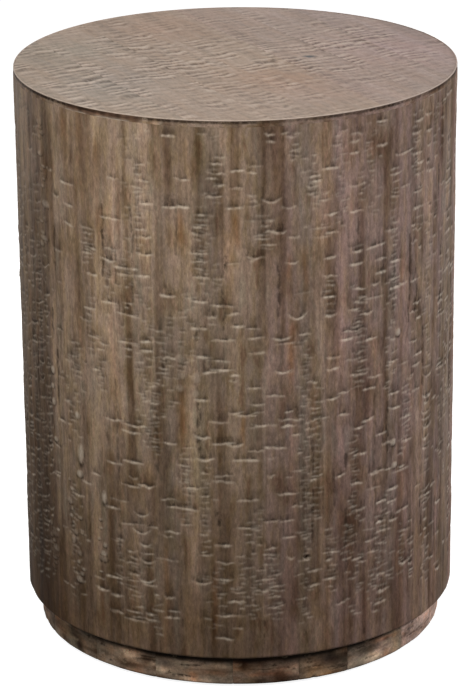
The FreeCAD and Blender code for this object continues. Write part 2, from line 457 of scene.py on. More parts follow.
def blank_face(across, along, tone):
    """Flat face with one tone."""
    shape = (len(along), len(across))
    return SimpleNamespace(
        across=across,
        along=along,
        relief=np.zeros(shape),
        recess=np.zeros(shape),
        lip=np.zeros(shape),
        tone=np.tile(np.array(tone), shape + (1,)),
    )


def clamp(values):
    """Values kept between 0 and 1."""
    return np.clip(values, 0, 1)


def lift(values, block, least):
    """Brings the values of a block up to what is given."""
    values[block] = np.maximum(values[block], least)


def tint(face, block, share, colour):
    """Multiplies the tone of a block by a colour, as far as the share goes."""
    face.tone[block] *= 1 + share[..., None] * (np.array(colour) - 1)


def pick(rng, rows):
    """One row of a table at random."""
    return np.array(rows[rng.integers(len(rows))])


def waves(rng, face, across_length, along_length, count=5):
    """Slow waves of about one unit in height."""
    total = np.zeros(face.relief.shape)
    for _ in range(count):
        a, b = rng.normal(0, 1, 2)
        phase = (a * face.across / across_length)[None, :] + (b * face.along / along_length)[:, None]
        total += np.cos(2 * math.pi * (phase + rng.random()))
    return total / count ** 0.5


def wander(rng, along, length, size):
    """Smooth random line along a face, made of four waves."""
    total = np.zeros(along.shape)
    for _ in range(4):
        total += np.cos(2 * math.pi * (along / (length * rng.uniform(0.6, 2.0)) + rng.random()))
    return size * total / 2 ** 0.5


def spread(side, values):
    """Line through values that are spread evenly from side to side."""
    return np.interp(side, np.linspace(-1, 1, len(values)), values)


def near(face, across, along, half_width, half_length):
    """Block of a face round a place, and how far its rows and its columns lie from there."""
    rows = np.flatnonzero(np.abs(face.along - along) < half_length)
    columns = np.flatnonzero(np.abs(face.across - across) < half_width)
    up = (face.along[rows] - along)[:, None]
    side = (face.across[columns] - across)[None, :]
    return np.ix_(rows, columns), up, side


def turned(face):
    """The same face with along and across changed over."""
    return SimpleNamespace(
        across=face.along, along=face.across, relief=face.relief.T, recess=face.recess.T, lip=face.lip.T)


# Single marks

def cut_stroke(face, rng, centre, foot, length, half, depth, tilt, sag, jag=0.0, walls=(0.0, 0.0)):
    """One gouge stroke: it deepens on its way down to an abrupt lip, with painted shade in the corners
    there and on its side walls, and a painted highlight on the lip.
    """
    columns = np.flatnonzero(np.abs(face.across - centre) < half)
    rows = np.flatnonzero((face.along > foot - abs(sag) - 2 * LIP_RISE) & (face.along < foot + length))
    if not len(columns) or not len(rows):
        return
    block = np.ix_(rows, columns)
    side = (face.across[columns] - centre) / half
    section = 1 - np.abs(side) ** rng.choice((1.6, 2.2, 3.5))
    ragged = jag * spread(side, rng.normal(0, 1, 6))
    height = face.along[rows][:, None] - (foot + tilt * side * half - sag * (1 - side ** 2) + ragged)
    run = clamp(np.where(height > 0, 1 - height / length, 1 + height / LIP_RISE))
    face.relief[block] = np.minimum(face.relief[block], -depth * section * run)
    strength = min(depth / STROKE_DEPTH[1], 1) ** 0.7
    # Painted shade above the lip and down the side walls, then a painted highlight on the lip
    reach = rng.uniform(*SHADE_REACH) * rng.choice((1.0, 1.0, 2.0))
    shade = (height > 0) * np.exp(-(np.maximum(height, 0) / reach) ** 1.5) * section
    wall = np.where(side < 0, walls[0], walls[1]) * clamp((np.abs(side) - 0.5) / 0.25)
    lift(face.recess, block, 0.9 * strength * np.maximum(shade, wall * (height > 0) * run))
    fade = spread(side, rng.uniform(0.15, 1.1, 7))
    thickness = LIP_RISE * spread(side, rng.uniform(0.4, 0.85, 5))
    bright = np.exp(-((height + LIP_RISE / 2) / thickness) ** 2) * fade
    lift(face.lip, block, strength * np.sqrt(section) * bright)
    face.tone[block] *= 1 + (rng.uniform(-0.18, 0.08) * np.sqrt(run) * section)[..., None]


def cut_groove(face, rng, across, start, end, half, depth):
    """Dark groove along a face that tapers at both ends and wanders a little."""
    reach = (end - start) / 2
    block, along, side = near(face, across, start + reach, 3 * half + GROOVE_ROOM, reach)
    bend = wander(rng, along, *GROOVE_BEND)
    taper = clamp(2 - 2 * np.abs(along) / reach)
    width = half * np.sqrt(taper) * (1 + wander(rng, along, *GROOVE_SWELL)) + THINNEST
    section = clamp(1 - ((side - bend) / width) ** 2)
    face.relief[block] -= depth * section
    lift(face.recess, block, rng.uniform(0.45, 0.9) * np.sqrt(section))


def raise_bead(face, rng, across, along, radius, rise, pale, dark=0.8, wide=1.0, tall=1.0):
    """Small round bump left standing, with a painted highlight on top and painted shade under its edge."""
    block, y, x = near(face, across, along, 2.4 * wide * radius, 3 * tall * radius)
    x = x / (wide * radius)
    y = y / (tall * radius * rng.uniform(0.8, 1.3))
    distance = np.hypot(x, y)
    dome = clamp(1 - distance ** 2)
    # Painted shade under the bump's lower right edge, and a painted highlight on its dome
    under = np.exp(-((distance - 1.15) / 0.28) ** 2) * clamp(0.55 - y + 0.4 * x)
    face.relief[block] += rise * np.sqrt(dome)
    for values, value in ((face.lip, pale * dome ** 0.7), (face.recess, dark * under)):
        values[block] *= distance > 1
        lift(values, block, value)


def cut_dimple(face, across, along, radius, depth, dark=0.0):
    """Small round hollow, with painted shade on its upper edge, a painted highlight on its lower one, and
    painted shade inside if need be.
    """
    block, y, x = near(face, across, along, 2 * radius, 2 * radius)
    distance = np.hypot(x, y) / radius
    bowl = clamp(1 - distance ** 2)
    face.relief[block] -= depth * bowl
    # Painted highlight on the lower edge, painted shade on the upper edge and, if need be, inside
    lower_edge = np.exp(-((distance - 0.9) / 0.3) ** 2) * (y < 0)
    lift(face.lip, block, 0.6 * lower_edge)
    upper_edge = np.exp(-((distance - 0.6) / 0.35) ** 2) * (y > 0)
    lift(face.recess, block, np.maximum(0.8 * upper_edge, dark * bowl))


def ease_edges(face, rng, ease, dark):
    """Lays the two long edges of a face back, and darkens the joint there in places."""
    knots = np.linspace(face.along[0], face.along[-1], 12)
    for distance in (face.across - face.across[0], face.across[-1] - face.across):
        back = clamp(1 - distance / ease)
        face.relief -= (ease * back ** 2)[None, :]
        line = np.interp(face.along, knots, rng.uniform(0, dark, len(knots)))
        lift(face.recess, ..., line[:, None] * back)


def ease_foot(face, ease):
    """Lays the lower edge of a face back."""
    back = clamp(1 - (face.along - face.along[0]) / ease)
    face.relief -= (ease * back ** 2)[:, None]


def roughen(face, rng):
    """Fine unevenness of the fibres, drawn out along the face."""
    speckle = rng.normal(0, 1, face.relief.shape)
    window = np.hanning(FIBRE_ROWS + 2)[1:-1]
    window /= np.sqrt((window ** 2).sum())
    face.relief += FIBRE_RISE * np.apply_along_axis(np.convolve, 0, speckle, window, "same")


# Columns of marks down the wall

def vigour(angle, level):
    """Strength of the strokes: more low down, less where the wall is worn at the left of its head."""
    above = (level - WORN_LEVEL) / WORN_FADE
    if above <= 0:
        return 1 + 0.35 * min(-above, 1)
    left = min(max((0.1 - math.radians(angle)) / 0.35, 0), 1)
    return 1 - 0.55 * min(above, 1) * left


def mark_column(face, middle, width):
    """A column of marks: where and of what kind it is, and how far each place across belongs to it."""
    angle = middle / face.degree
    side = (face.across - middle) / (width / 2)
    places = np.flatnonzero(np.abs(side) < 1.6)
    return SimpleNamespace(
        middle=middle,
        width=width,
        angle=angle,
        places=places,
        share=np.exp(-side[places] ** 4),
        bold=any(abs(angle - bold) < width / 2 / face.degree for bold in BOLD_COLUMNS),
        mottled=MOTTLED_SIDE[0] < angle < MOTTLED_SIDE[1],
        shown=SHOWN_SIDE[0] < angle < SHOWN_SIDE[1],
    )


def next_stretch(rng, column):
    """Manner of the marks in a column's next stretch, their pace, and the share of them that is made."""
    if column.mottled:
        manners, paces = MOTTLED_MANNERS, MOTTLED_PACES
    elif column.bold:
        manners, paces = BOLD_MANNERS, BOLD_PACES
    else:
        manners, paces = WALL_MANNERS, WALL_PACES
    manner = rng.choice(list(manners), p=list(manners.values()))
    pace = rng.choice(paces)
    if column.bold or column.mottled or manner != "strokes":
        return manner, pace, STEADY_SHARE
    return manner, pace, rng.choice(MARKED_SHARES)


def make_stroke(face, rng, column, level, length, force):
    """One stroke of a column."""
    power = 1.0 if column.bold else 1.8
    cut_stroke(
        face, rng,
        centre=column.middle + rng.normal(0, STROKE_STRAY),
        foot=level,
        length=length * rng.uniform(0.9, 1.6),
        half=column.width / 2 * rng.choice((0.5, 0.7, 0.9, 1.0, 1.3)) * rng.uniform(0.85, 1.1),
        depth=(STROKE_DEPTH[0] + np.ptp(STROKE_DEPTH) * rng.random() ** power) * force,
        tilt=rng.normal(MOTTLED_TILT if column.mottled else 0, 0.07),
        sag=rng.choice(STROKE_SAGS) * rng.uniform(0.4, 1.2),
        jag=rng.choice(STROKE_JAGS),
        walls=rng.choice((0.0, 0.0, 0.0, 0.7), 2),
    )


def make_tick(face, rng, column, level, length, force):
    """One short, shallow stroke of a column."""
    cut_stroke(
        face, rng,
        centre=column.middle + rng.uniform(-0.4, 0.4) * column.width,
        foot=level,
        length=2 * length,
        half=rng.uniform(*TICK_HALF) * (MOTTLED_WIDENING if column.mottled else 1),
        depth=rng.uniform(*TICK_DEPTH) * (MOTTLED_FORCE if column.mottled else force),
        tilt=rng.normal(MOTTLED_TILT if column.mottled else 0, 0.12),
        sag=TICK_SAG,
        jag=TICK_JAG,
    )


def make_bump(face, rng, column, level, length, force):
    """One low bump of a column."""
    raise_bead(
        face, rng,
        across=column.middle + rng.uniform(-0.5, 0.5) * column.width,
        along=level,
        radius=rng.uniform(*BUMP_RADIUS),
        rise=rng.uniform(*BUMP_RISE),
        pale=rng.uniform(0.05, 0.5),
        dark=0.6,
        wide=rng.uniform(1.2, 2.6),
    )


MAKERS = {"strokes": make_stroke, "ticks": make_tick, "bumps": make_bump}


def tint_stretch(face, column, low, high, colour):
    """Tints a stretch of a column, with soft edges."""
    ends = clamp(np.minimum(face.along - low, high - face.along) / STRETCH_FADE + 0.5)
    tint(face, np.s_[:, column.places], ends[:, None] * column.share, colour)


def hew_column(face, rng, column):
    """One column of marks, from the wall's head to near its foot."""
    level = face.along[-1] - PLAIN_HEAD
    change = level
    while True:
        if level <= change:
            change = level - rng.uniform(*STRETCH_LENGTH)
            manner, pace, keep = next_stretch(rng, column)
            tint_stretch(face, column, change, level, SMOOTH_TINT if keep < 0.5 else ROUGH_TINT)
            if column.shown and manner == "strokes":
                keep *= SHOWN_SHARE
        length = np.clip(rng.lognormal(math.log(STROKE_LENGTH * pace), STROKE_SPREAD), *STROKE_LIMITS)
        if manner != "strokes":
            length = rng.uniform(*TICK_SPACING)
        level -= length
        if level < face.along[0] + PLAIN_FOOT * rng.uniform(0.4, 1.1):
            return
        force = vigour(column.angle, level)
        if rng.random() <= keep * min(force, 1):
            MAKERS[manner](face, rng, column, level, length, force)


def hew(face, rng):
    """Columns of marks all round the wall, each with its own tone and grooves at its side."""
    low, high = face.along[0], face.along[-1]
    edge = face.across[0]
    while edge < face.across[-1]:
        width = rng.uniform(*COLUMN_WIDTH)
        column = mark_column(face, edge + width / 2, width)
        share = rng.uniform(0, COLUMN_TONE_SHARE) * column.share[None, :, None]
        face.tone[:, column.places] += share * (pick(rng, WALL_TONES) - face.tone[:, column.places])
        hew_column(face, rng, column)
        for _ in range(rng.integers(0, 3)):
            start = rng.uniform(low, high - SIDE_GROOVE_ROOM[0])
            end = min(start + rng.uniform(*SIDE_GROOVE_LENGTH), high - SIDE_GROOVE_ROOM[1])
            half = rng.uniform(*SIDE_GROOVE_HALF)
            cut_groove(face, rng, edge, start, end, half, rng.uniform(*SIDE_GROOVE_DEPTH))
        edge += width


# Runs of marks, stains and painted shade on the wall

def string_beads(face, rng, across, low, high, radius):
    """Large beads in a string down the wall."""
    level = high
    while level > low:
        raise_bead(
            face, rng,
            across=across + rng.normal(0, 0.6 * radius),
            along=level,
            radius=radius * rng.uniform(0.45, 1.3),
            rise=radius * rng.uniform(0.08, 0.22),
            pale=rng.uniform(0.25, 0.8),
            wide=rng.uniform(0.7, 1.5),
        )
        level -= radius * rng.choice((1.6, 2.4, 3.2, 5.5)) * rng.uniform(0.8, 1.2)


def scallop(face, rng, across, low, high):
    """Deep round strokes one above the other, with lips like loops."""
    level = high
    while level > low:
        half = rng.uniform(*LOOP_HALF)
        cut_stroke(
            face, rng,
            centre=across + rng.normal(0, LOOP_STRAY),
            foot=level,
            length=2 * half,
            half=half,
            depth=STROKE_DEPTH[1],
            tilt=rng.normal(0, 0.07),
            sag=0.55 * half,
            walls=(0.4, 0.4),
        )
        level -= half * rng.uniform(1.2, 2.4)


def ladder(face, rng, across, half, low, high):
    """Short shallow strokes close above each other."""
    level = high
    while level > low:
        spacing = rng.uniform(*RUNG_SPACING)
        cut_stroke(
            face, rng,
            centre=across + rng.uniform(-0.4, 0.4) * half,
            foot=level,
            length=1.6 * spacing,
            half=half * rng.uniform(0.45, 1.05),
            depth=rng.uniform(1.0, 2.0) * rng.uniform(*TICK_DEPTH),
            tilt=rng.normal(0, 0.12),
            sag=TICK_SAG,
            jag=RUNG_JAG,
        )
        level -= spacing


def mark_shown_side(face, rng):
    """The strokes, hollows, ladders, beads and checks that stand out on the shown side."""
    for angle, half, levels in SHOWN_COLUMNS:
        for level in levels:
            cut_stroke(
                face, rng,
                centre=face.degree * (angle + rng.normal(0, 0.5)),
                foot=level,
                length=rng.uniform(*SHOWN_LENGTH),
                half=face.degree * half * rng.uniform(0.8, 1.15),
                depth=STROKE_DEPTH[1] * rng.uniform(0.6, 1.1),
                tilt=rng.normal(0, 0.05),
                sag=rng.choice(SHOWN_SAGS),
                jag=rng.choice(SHOWN_JAGS),
                walls=rng.choice((0.0, 0.0, 0.6), 2),
            )
    for angle, level, half, sag in SHOWN_HOLLOWS:
        centre = face.degree * angle
        cut_stroke(face, rng, centre, level, HOLLOW_LENGTH, face.degree * half, STROKE_DEPTH[1], 0.0, sag)
    for angle, half, low, high in SHOWN_LADDERS:
        ladder(face, rng, face.degree * angle, face.degree * half, low, high)
    for angle, level, radius, tall in SHOWN_BEADS:
        pale = rng.uniform(0.7, 1.0)
        raise_bead(face, rng, face.degree * angle, level, radius, SHOWN_BEAD_RISE * radius, pale, tall=tall)
    for angle, low, high, half in CHECKS:
        cut_groove(face, rng, face.degree * angle, low, high, half, rng.uniform(*CHECK_DEPTH))


def mark_round_wall(face, rng):
    """The strings of beads, the loops, the worm hole and the pale knots."""
    for angle, low, high, radius in BEAD_RUNS:
        string_beads(face, rng, face.degree * angle, low, high, radius)
    for angle, low, high in LOOP_RUNS:
        scallop(face, rng, face.degree * angle, low, high)
    angle, level = WORM_HOLE
    cut_dimple(face, face.degree * angle, level, WORM_HOLE_RADIUS, WORM_HOLE_DEPTH, dark=1.0)
    for angle, level in PALE_KNOTS:
        raise_bead(face, rng, face.degree * angle, level, PALE_KNOT_RADIUS, PALE_KNOT_RISE, 0.3, 0.2)


def stain(face, rng, across, along, width, length, colour, strength):
    """One soft stain drawn out along the grain."""
    block, y, x = near(face, across, along, 3 * width, 1.5 * length)
    bend = wander(rng, y, *STREAK_BEND)
    share = np.exp(-((x - bend) / width) ** 2 - (y / length) ** 4)
    tint(face, block, strength * share, colour)


def streak(face, rng):
    """Soft stains drawn out along the grain: dark and pale ones, rusty ones, and a few broad ones."""
    for _ in range(round(np.ptp(face.across) * np.ptp(face.along) * STREAKS_PER_AREA)):
        stain(
            face, rng,
            across=rng.uniform(face.across[0], face.across[-1]),
            along=rng.uniform(face.along[0], face.along[-1]),
            width=rng.uniform(*STREAK_WIDTH),
            length=rng.lognormal(math.log(STREAK_LENGTH), STREAK_SPREAD),
            colour=pick(rng, STREAK_TINTS),
            strength=rng.uniform(0.4, 1.0),
        )
    for angle, low, high, width in RUST_STREAKS:
        across = face.degree * angle
        stain(face, rng, across, (low + high) / 2, width, (high - low) / 2, RUST_TINT, RUST_STRENGTH)
    for angle, half, low, high, colour in BROAD_STAINS:
        across, width = face.degree * angle, face.degree * half
        stain(face, rng, across, (low + high) / 2, width, (high - low) / 2, colour, 1.0)


def shade_wall(face):
    """Painted shade: darkens the wall towards its foot, more at the left, and down its mottled side, with
    dimmer lips there.
    """
    angle = np.radians(face.across / face.degree)
    right = (0.5 + 0.5 * np.sin(angle))[:, None]
    # Painted shade towards the foot, darker at the left
    foot_shade_tint = (1 - right) * np.array(WALL_FOOT_SHADE_LEFT) + right * np.array(WALL_FOOT_SHADE_RIGHT)
    height = face.along - face.along[0]
    tint(face, ..., clamp(1 - height / WALL_FOOT_SHADE_REACH)[:, None], foot_shade_tint)
    left_end, right_end = np.radians(MOTTLED_SIDE)
    side = clamp(np.minimum(angle - left_end, right_end - angle) / MOTTLED_FADE + 0.5)
    # Painted shade down the mottled side, with dimmer painted highlights
    face.lip *= 1 - MOTTLED_LIPS * side
    tint(face, ..., clamp(1 - height / MOTTLED_LEVEL)[:, None] * side, MOTTLED_SIDE_SHADE)


def wall_tone(angle):
    """Tone of the wall round the drum, by angles in radians. It changes at the joints."""
    channels = [np.interp(angle, tone_angles, channel, period=2 * math.pi) for channel in tones_there.T]
    return np.stack(channels, -1)


def hewn_wall(rings):
    """The wall's whole outer face, hewn, stained and given painted shade, unrolled from the joint nearest
    to the back.
    """
    rng = np.random.default_rng(100)
    radius = rings[0].radius
    left = min(ring.middle - ring.half for ring in rings) * radius - GLUE_LINE
    right = max(ring.middle + ring.half for ring in rings) * radius + GLUE_LINE
    levels = steps(rings[0].bottom, rings[0].top, ALONG_STEP)
    face = blank_face(steps(left, right, ACROSS_STEP), levels, COMMON_TONE)
    face.degree = math.radians(radius)
    face.tone[:] = wall_tone(face.across / radius)
    hew(face, rng)
    mark_shown_side(face, rng)
    mark_round_wall(face, rng)
    streak(face, rng)
    roughen(face, rng)
    face.relief += SWELL_RISE * waves(rng, face, *SWELL_LENGTHS)
    shade_wall(face)
    return face


def cut_face(face, left, right):
    """Part of a face between two places across it, counted from its own middle."""
    across = steps(left, right, ACROSS_STEP)
    first = np.clip(np.searchsorted(face.across, across) - 1, 0, len(face.across) - 2)
    share = (across - face.across[first]) / np.diff(face.across)[first]

    def between(values):
        after = share.reshape((1, -1) + (1,) * (values.ndim - 2))
        return (1 - after) * values[:, first] + after * values[:, first + 1]

    return SimpleNamespace(
        across=across - (left + right) / 2,
        along=face.along,
        relief=between(face.relief),
        recess=between(face.recess),
        lip=between(face.lip),
        tone=between(face.tone),
    )


# Meshes

def loop_faces(rows, columns, first=0):
    """Faces of a closed tube of loops, and the cap at each end, for points numbered from the first."""
    index = first + np.arange(rows * columns).reshape(rows, columns)
    here, after = index[:-1], index[1:]
    quads = np.stack((here, np.roll(here, -1, 1), np.roll(after, -1, 1), after), -1).reshape(-1, 4)
    return quads.tolist(), index[0, ::-1].tolist(), index[-1].tolist()


def put(name, data):
    """Adds an object to the scene."""
    made = bpy.data.objects.new(name, data)
    bpy.context.scene.collection.objects.link(made)
    return made


def make_piece(node, name, materials, points, faces, paint, second=None):
    """Adds a piece in place of a CAD node, with its painted values at its points.

    The faces marked in second take the second material.
    """
    mesh = bpy.data.meshes.new(name)
    mesh.from_pydata(points.reshape(-1, 3).tolist(), [], faces)
    for key, values in paint.items():
        kind, field = ("FLOAT_VECTOR", "vector") if values.ndim == 3 else ("FLOAT", "value")
        layer = mesh.attributes.new(key, kind, "POINT")
        layer.data.foreach_set(field, values.astype(np.float32).ravel())
    if second is not None:
        mesh.polygons.foreach_set("material_index", second)
    shaped = bmesh.new()
    shaped.from_mesh(mesh)
    bmesh.ops.remove_doubles(shaped, verts=shaped.verts, dist=WELD_REACH)
    shaped.to_mesh(mesh)
    shaped.free()
    mesh.shade_smooth()
    mesh.set_sharp_from_angle(angle=SHARP_ANGLE)
    for material in materials:
        mesh.materials.append(material)
    piece = put(name, mesh)
    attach(piece, "root")
    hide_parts(node)


def grain_shift(rng):
    """A piece's own place in the figure of the wood."""
    return rng.uniform(-50, 50, 3)


def wrap(ring, face, grain_order, shift):
    """Loops of points over a ring piece's carved face and the corners of its flat back, and their paint."""
    ends = np.array((ring.half, -ring.half))
    corner = ring.flat / math.cos(ring.half)

    def backed(values, back):
        return np.pad(values, ((0, 0), (0, 2)), constant_values=back)

    angles = ring.middle + np.r_[face.across / ring.radius, ends]
    radii = backed(ring.radius + face.relief, corner)
    up = np.broadcast_to(face.along[:, None], radii.shape)
    across = np.broadcast_to(np.r_[face.across, ends * ring.flat], radii.shape)
    place = np.stack((across, backed(face.relief, ring.flat - ring.radius), up), -1)
    last = len(face.across) - 1
    paint = {
        "grain": place[..., grain_order] + shift,
        "tone": face.tone[:, np.r_[:last + 1, last, 0]],
        # The flat back is a little darker: painted shade
        "recess": backed(face.recess, 0.2),
        "lip": backed(face.lip, 0.0),
    }
    return np.stack((radii * np.sin(angles), -radii * np.cos(angles), up), -1), paint


# Staves

def hewn_stave(node, number, material, wall_face):
    """One stave, cut from the hewn wall."""
    rng = np.random.default_rng(200 + number)
    ring = ring_piece(node)
    middle = ring.middle * ring.radius
    half_width = ring.half * ring.radius + GLUE_LINE / 2
    face = cut_face(wall_face, middle - half_width, middle + half_width)
    face.relief -= STAVE_PROUD * rng.uniform(0.85, 1.15)
    ease_edges(face, rng, rng.uniform(*STAVE_EASE), STAVE_JOINT_SHADE)
    ease_foot(face, STAVE_FOOT_EASE)
    points, paint = wrap(ring, face, [0, 1, 2], (middle, 0, 0))
    sides, foot_cap, head_cap = loop_faces(*points.shape[:2])
    faces = sides + [foot_cap, head_cap]
    make_piece(node, f"hewn_stave_{number + 1:02d}", [material], points, faces, paint)


# Top boards

def top_grain():
    """Direction across the top's boards, which is the one in which a middle board is narrowest."""
    nodes = nodes_named("top_board_")
    flat = node_points(nodes[len(nodes) // 2])[:, :2]
    angles = np.radians(np.arange(-90, 90, 0.05))
    directions = np.stack((np.cos(angles), np.sin(angles)), -1)
    return directions[np.ptp(flat @ directions.T, axis=0).argmin()]


def round_place(x, y, place, reach):
    """Share that is whole at a place on the top and fades away round it."""
    return np.exp(-((x - place[0]) ** 2 + (y - place[1]) ** 2) / reach ** 2)


def saw_force(x, y):
    """How strongly the saw marked the top: most in some zones, and a little elsewhere."""
    return SAW_LEAST + sum(share * round_place(x, y, place, reach) for place, reach, share in SAW_ZONES)


def saw(face, rng, force):
    """Bands of wavy ripples that a saw left across a board's grain, each ripple a little different."""
    unrest = SAW_UNREST * waves(rng, face, *SAW_UNREST_LENGTHS, 9)
    edge = face.across[0] - rng.uniform(0, BAND_WIDTH[0])
    while edge < face.across[-1]:
        width = rng.uniform(*BAND_WIDTH)
        middle = edge + width / 2 + wander(rng, face.along, *BAND_WANDER)
        side = (face.across - middle[:, None]) / (width / 2)
        bend = rng.uniform(-0.12, 0.12) * side + rng.uniform(-0.25, 0.25) * side ** 2
        beat = wander(rng, face.along, *SAW_BEAT) + face.along / rng.uniform(*SAW_PITCH)
        turn = beat[:, None] + bend + unrest
        ripple = np.cos(2 * math.pi * turn)
        each = rng.uniform(0.3, 1.35, 128)[np.round(turn).astype(int) % 128]
        swell = np.clip(0.8 + wander(rng, face.along, *SAW_SWELL), 0.15, 1.2)
        band = rng.choice(BAND_FORCES)
        hold = band * clamp(1 - np.abs(side) ** 4) * each * swell[:, None] * force
        face.relief += SAW_DEPTH * ripple * hold
        # Painted highlight on the ripples' crests and painted shade in their troughs
        lift(face.lip, ..., clamp(ripple) ** 0.8 * np.clip(0.88 * hold, 0, 0.9))
        lift(face.recess, ..., clamp(-ripple) ** 1.3 * np.clip(0.72 * hold, 0, 0.75))
        edge += width * rng.uniform(0.75, 0.95)


def stain_top(face, x, y):
    """Tints a board's face where the top has soft stains, and sets the knot in it."""
    for place, reach, colour in TOP_STAINS:
        tint(face, ..., round_place(x, y, place, reach), colour)
    distance = np.hypot((x - KNOT_PLACE[0]) / KNOT_SIZE[0], (y - KNOT_PLACE[1]) / KNOT_SIZE[1])
    core = clamp(1.4 - distance)
    face.tone += core[..., None] * (np.array(KNOT_TONE) - face.tone)
    face.relief -= KNOT_DEPTH * core
    face.recess *= 1 - core
    face.lip *= 1 - core
    lift(face.lip, ..., 0.5 * np.exp(-((distance - 1.7) / 0.35) ** 2))


def bare_share(angle):
    """How bare the top's edge is round the drum: fully where the stain is worn off it."""
    bare = np.zeros(angle.shape)
    for start, end in np.radians(BARE_EDGES):
        lift(bare, ..., clamp(np.minimum(angle - start, end - angle) / BARE_FADE))
    return bare


def under_rim_shade(angle):
    """How dark the painted shade line under the top's rim is round the drum: most at the left."""
    left = np.exp(-((angle - math.radians(DARKEST_RIM_SHADE)) / DARKEST_RIM_SHADE_REACH) ** 2)
    ragged = 1 + 0.5 * np.sin(43 * angle) * np.sin(97 * angle + 1)
    return 0.65 + 0.35 * np.sin(5 * angle + 0.7) * np.sin(13 * angle + 2) + 0.5 * left * ragged


def flaked(angle):
    """How much of the pale line below the bare edge is left round the drum."""
    return clamp(0.7 + 0.7 * np.sin(41 * angle + 1) * np.sin(17 * angle))


def edge_tone(angle):
    """Tone of the top's edge round the drum: that of the wall below, and bare dark wood in places."""
    bare = bare_share(angle)[..., None]
    torn = 1 + 0.4 * np.sin(67 * angle) * np.sin(29 * angle + 1) + 0.25 * np.sin(151 * angle + 2)
    return (1 - bare) * wall_tone(angle) + bare * torn[..., None] * np.array(BARE_EDGE_TONE)


def rim_section(radius, bottom, top):
    """Places down the top's rim and edge, with the painted shade line under the rim, a painted highlight on
    the rim's arris and the pale lower arris.
    """
    turn = np.linspace(0, math.pi / 2, 4)
    thickness = top - bottom
    drops = np.r_[RIM_EASE * (1 - np.cos(turn)), RIM_LINE, RIM_SHADE, thickness - BARE_LINE, thickness]
    return SimpleNamespace(
        radii=np.r_[radius - RIM_EASE * (1 - np.sin(turn)), np.full(4, radius)] - STAVE_PROUD,
        levels=top - drops,
        shade=np.array((0, 0, 0.2, 1.0, 1.0, 0.1, 0, 0)),
        # Painted highlight on the rim's arris, and the worn pale line at the foot of bare edges
        lip=np.array((0.5, 1.0, 0.9, 0, 0, 0, 0, 0)),
        bare_lip=np.array((0, 0, 0, 0, 0, 0, 0.2, 0.9)),
        upright=np.array((0, 0, 0, 1, 1, 1, 1, 1)),
    )


def board_rows(cad, across_way):
    """Places of a board's rows across it, closer together where they meet the rim at a slant."""
    radius = cad_high.x
    across = np.clip(cad[:, :2] @ across_way / radius, -1, 1)
    seam = GLUE_LINE / 2 / radius
    ends = np.clip((across.max() + seam, across.min() - seam), -1, 1)
    return radius * np.cos(steps(*np.arccos(ends), ROW_STEP / radius)[::-1])


def sawn_face(rng, rows, tone, across_way, grain_way):
    """A board's upper face, sawn and stained."""
    face = blank_face(rows, steps(-cad_high.x, cad_high.x, ALONG_STEP), tone)
    x, y = (across_way[i] * rows + grain_way[i] * face.along[:, None] for i in (0, 1))
    saw(face, rng, saw_force(x, y))
    stain_top(face, x, y)
    face.relief -= 2 * SAW_DEPTH
    return face


def board_loops(face, rim, top, across_way, grain_way):
    """Loops of places over a board, down its rim and back below, one for each of its rows.

    Around spreads values down the rim over a loop, and carved takes values of the face along each loop.
    """
    rows = face.across
    reach = np.sqrt(np.clip(rim.radii ** 2 - rows[:, None] ** 2, 0, None))
    middle = np.linspace(-1, 1, len(face.along))[1:-1] * reach[:, :1]
    along = np.concatenate((middle, reach, -reach[:, ::-1]), 1)

    def around(values, upper=0.0):
        return np.r_[np.full(middle.shape[1], upper), values, values[::-1]]

    def carved(values):
        return np.array([np.interp(places, face.along, row) for places, row in zip(along, values.T)])

    flat = across_way * rows[:, None, None] + grain_way * along[..., None]
    beyond = np.clip(np.hypot(rows[:, None], along) - cad_high.x + RIM_EASE, 0, RIM_EASE)
    capped = top - RIM_EASE + np.sqrt(RIM_EASE ** 2 - beyond ** 2)
    return SimpleNamespace(
        along=along,
        flat=flat,
        level=np.minimum(around(rim.levels, top), capped),
        angle=np.arctan2(flat[..., 0], -flat[..., 1]),
        inside=around(np.zeros(len(rim.levels)), 1.0),
        edge=around(rim.upright),
        around=around,
        carved=carved,
    )


def board_paint(face, loops, rim, top, shift):
    """Paint of a board's points: the sawn face's, and on its edge the wall's, with lying grain if bare."""
    angle = loops.angle
    turn = angle * cad_high.x
    drop = loops.level - top
    bare = bare_share(angle)
    rows = np.broadcast_to(face.across[:, None], angle.shape)
    upper = np.stack((rows, drop, loops.along), -1) + shift
    upright = np.stack((turn, drop, loops.level), -1)
    lying = np.stack((3 * loops.level, drop, turn), -1)
    # Painted shade line under the rim: it darkens the edge's tone and adds to the recess
    under_rim_share = under_rim_shade(angle) * loops.around(rim.shade)
    # Painted highlight on the rim's arris, and the worn pale line below bare edges
    wear_and_highlight = loops.around(rim.lip) + bare * flaked(angle) * loops.around(rim.bare_lip)
    upper_tone = np.stack([loops.carved(face.tone[..., i]) for i in range(3)], -1)
    round_tone = edge_tone(angle) * (1 - RIM_SHADE_DARKENING * under_rim_share)[..., None]
    on_edge = loops.edge[:, None] > 0
    return {
        "grain": np.where(on_edge, np.where(bare[..., None] > 0.5, lying, upright), upper),
        "tone": np.where(on_edge, round_tone, upper_tone),
        "recess": loops.inside * loops.carved(face.recess) + under_rim_share,
        "lip": loops.inside * loops.carved(face.lip) + wear_and_highlight,
    }


